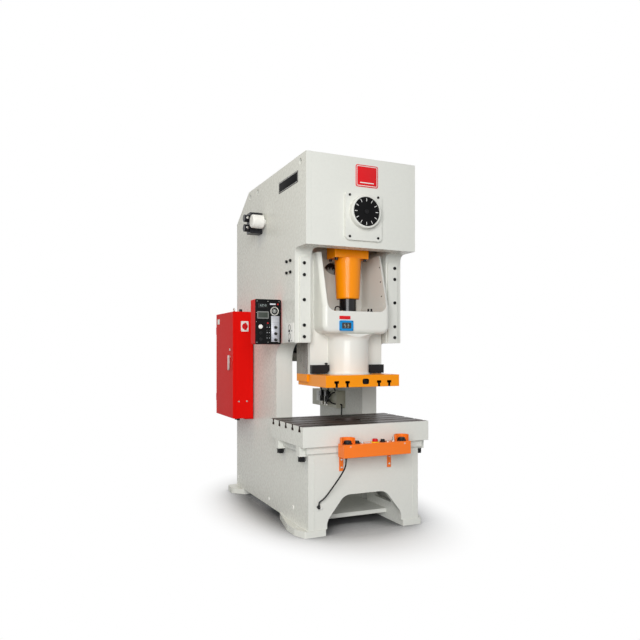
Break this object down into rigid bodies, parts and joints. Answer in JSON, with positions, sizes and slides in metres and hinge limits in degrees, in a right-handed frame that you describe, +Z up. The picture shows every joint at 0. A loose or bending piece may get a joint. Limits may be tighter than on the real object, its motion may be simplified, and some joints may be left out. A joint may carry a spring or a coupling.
{
  "type": "mechanical stamping press",
  "caption": "Open-front C-frame stamping press with crank-driven slide, T-slotted table, cabinet and two-hand console.",
  "frame": {"origin": "on the floor, at the centre of the four anchor holes", "axes": "+X across the machine, +Y from the front to the back, +Z up along the slide's stroke"},
  "size_m": [1.181, 1.923, 2.66],
  "materials": {
    "frame_paint": "pale grey gloss enamel",
    "slide_paint": "pale grey gloss enamel on casting",
    "die_plate_paint": "orange enamel",
    "console_paint": "orange enamel",
    "cabinet_paint": "red powder coat",
    "ground_steel": "ground and oiled",
    "table_steel": "ground, dark with oil",
    "machined_steel": "machined",
    "gear_iron": "dark cast iron, greased",
    "bronze": "turned bronze",
    "black_oxide": "black oxide",
    "black_plastic": "moulded",
    "red_plastic": "moulded",
    "handle_metal": "cast zinc, satin",
    "motor_paint": "grey enamel",
    "valve_metal": "black anodised",
    "silencer_plastic": "white sintered plastic",
    "junction_paint": "grey-olive enamel",
    "belt_rubber": "rubber",
    "cable_rubber": "rubber sheath",
    "dial_black": "black dial"
  },
  "bodies": {
    "frame": {"side_plate_left": "frame_paint", "side_plate_right": "frame_paint", "columns": "frame_paint", "front_legs": "frame_paint", "foot_plates": "frame_paint", "bed_front_plate": "frame_paint", "bed_plate": "frame_paint", "base_tie_plate": "frame_paint", "bolster": "table_steel", "head_front_plate": "frame_paint", "head_cover": "frame_paint", "bearing_walls": "frame_paint", "shaft_bearings": "bronze", "guide_strips": "frame_paint", "frame_screws": "black_oxide", "dial_housing": "frame_paint", "motor_mount": "frame_paint", "motor": "motor_paint", "rear_guard": "frame_paint", "v_belts": "belt_rubber", "valve_block": "valve_metal", "valve_silencer": "silencer_plastic", "cabinet_shell": "cabinet_paint", "panel_box": "cabinet_paint", "junction_box": "junction_paint", "console_box": "console_paint", "cable_glands": "black_plastic", "control_cable": "cable_rubber"},
    "cabinet_door": {"cabinet_door": "cabinet_paint"},
    "door_handle": {"door_handle": "handle_metal"},
    "isolator": {"isolator_handle": "handle_metal"},
    "slide": {"slide_body": "slide_paint", "slide_plate": "die_plate_paint", "slide_ways": "ground_steel", "slide_boxes": "black_plastic", "ball_retainer": "gear_iron"},
    "ball_screw": {"ball_screw": "black_oxide"},
    "rod": {"connecting_rod": "die_plate_paint", "rod_strap": "die_plate_paint", "rod_screws": "black_oxide", "crank_pin": "machined_steel"},
    "crank": {"crankshaft": "machined_steel", "main_gear": "gear_iron", "dial_disc": "dial_black"},
    "pinion": {"pinion_shaft": "machined_steel", "clutch_drum": "gear_iron"},
    "flywheel": {"flywheel": "gear_iron"},
    "motor_pulley": {"motor_pulley": "gear_iron"},
    "palm_left": {"palm_button_left": "black_plastic"},
    "palm_right": {"palm_button_right": "black_plastic"},
    "run": {"run_button": "black_plastic"},
    "stop": {"stop_button": "red_plastic"},
    "inch": {"inch_button": "black_plastic"},
    "toggle": {"toggle_switch": "handle_metal"},
    "selector": {"mode_selector": "silencer_plastic"},
    "knob_upper": {"panel_knob_upper": "black_plastic"},
    "knob_middle": {"panel_knob_middle": "black_plastic"},
    "knob_lower": {"panel_knob_lower": "black_plastic"},
    "key_upper": {"panel_key_upper": "black_plastic"},
    "key_lower": {"panel_key_lower": "black_plastic"}
  },
  "joints": [
    {"name": "slide_stroke", "type": "slide", "parent": "frame", "child": "slide", "axis": [0, 0, 1], "range_m": [0, 0.16]},
    {"name": "rod_swing", "type": "hinge", "parent": "slide", "child": "ball_screw", "pos_m": [0, -0.565, 1.47], "axis": [0, 1, 0], "range_deg": [-6.4, 6.4]},
    {"name": "die_height", "type": "slide", "parent": "ball_screw", "child": "rod", "axis": [0, 0, 1], "range_m": [0, 0.06]},
    {"name": "crank_turn", "type": "hinge", "parent": "frame", "child": "crank", "pos_m": [0, -0.565, 2.265], "axis": [0, 1, 0], "continuous": true},
    {"name": "pinion_turn", "type": "hinge", "parent": "frame", "child": "pinion", "pos_m": [0, 0, 1.869], "axis": [0, 1, 0], "continuous": true},
    {"name": "flywheel_turn", "type": "hinge", "parent": "frame", "child": "flywheel", "pos_m": [0, 0.49, 1.869], "axis": [0, 1, 0], "continuous": true},
    {"name": "motor_turn", "type": "hinge", "parent": "frame", "child": "motor_pulley", "pos_m": [0, 0.49, 1.4], "axis": [0, 1, 0], "continuous": true},
    {"name": "door_swing", "type": "hinge", "parent": "frame", "child": "cabinet_door", "pos_m": [-0.617, 0.882, 1.16], "axis": [0, 0, -1], "range_deg": [0, 110]},
    {"name": "handle_turn", "type": "hinge", "parent": "cabinet_door", "child": "door_handle", "pos_m": [-0.628, 0.418, 1.232], "axis": [1, 0, 0], "range_deg": [0, 90]},
    {"name": "isolator_turn", "type": "hinge", "parent": "frame", "child": "isolator", "pos_m": [-0.526, 0.33, 1.486], "axis": [0, 1, 0], "range_deg": [0, 90]},
    {"name": "palm_left_press", "type": "slide", "parent": "frame", "child": "palm_left", "axis": [0, 0, -1], "range_m": [0, 0.006], "stiffness_N_per_m": 1500, "springref_m": -0.006},
    {"name": "palm_right_press", "type": "slide", "parent": "frame", "child": "palm_right", "axis": [0, 0, -1], "range_m": [0, 0.006], "stiffness_N_per_m": 1500, "springref_m": -0.006},
    {"name": "run_press", "type": "slide", "parent": "frame", "child": "run", "axis": [0, 0, -1], "range_m": [0, 0.005], "stiffness_N_per_m": 1500, "springref_m": -0.006},
    {"name": "stop_press", "type": "slide", "parent": "frame", "child": "stop", "axis": [0, 0, -1], "range_m": [0, 0.005]},
    {"name": "inch_press", "type": "slide", "parent": "frame", "child": "inch", "axis": [0, 0, -1], "range_m": [0, 0.005], "stiffness_N_per_m": 1500, "springref_m": -0.006},
    {"name": "toggle_turn", "type": "hinge", "parent": "frame", "child": "toggle", "pos_m": [0.143, -0.986, 0.648], "axis": [0, 0, 1], "range_deg": [-45, 45]},
    {"name": "selector_turn", "type": "hinge", "parent": "frame", "child": "selector", "pos_m": [-0.61116, -0.34, 1.45904], "axis": [0, 1, 0], "range_deg": [-45, 45]},
    {"name": "knob_upper_turn", "type": "hinge", "parent": "frame", "child": "knob_upper", "pos_m": [-0.49284, -0.34, 1.45568], "axis": [0, 1, 0], "range_deg": [-135, 135]},
    {"name": "knob_middle_turn", "type": "hinge", "parent": "frame", "child": "knob_middle", "pos_m": [-0.49284, -0.34, 1.40864], "axis": [0, 1, 0], "range_deg": [-135, 135]},
    {"name": "knob_lower_turn", "type": "hinge", "parent": "frame", "child": "knob_lower", "pos_m": [-0.49284, -0.34, 1.3616], "axis": [0, 1, 0], "range_deg": [-135, 135]},
    {"name": "key_upper_press", "type": "slide", "parent": "frame", "child": "key_upper", "axis": [0, 1, 0], "range_m": [0, 0.004], "stiffness_N_per_m": 800, "springref_m": -0.006},
    {"name": "key_lower_press", "type": "slide", "parent": "frame", "child": "key_lower", "axis": [0, 1, 0], "range_m": [0, 0.004], "stiffness_N_per_m": 800, "springref_m": -0.006}
  ],
  "couplings": [
    {"joint": "pinion_turn", "follows": "crank_turn", "ratio": -4.8235},
    {"joint": "motor_turn", "follows": "flywheel_turn", "ratio": 5}
  ]
}
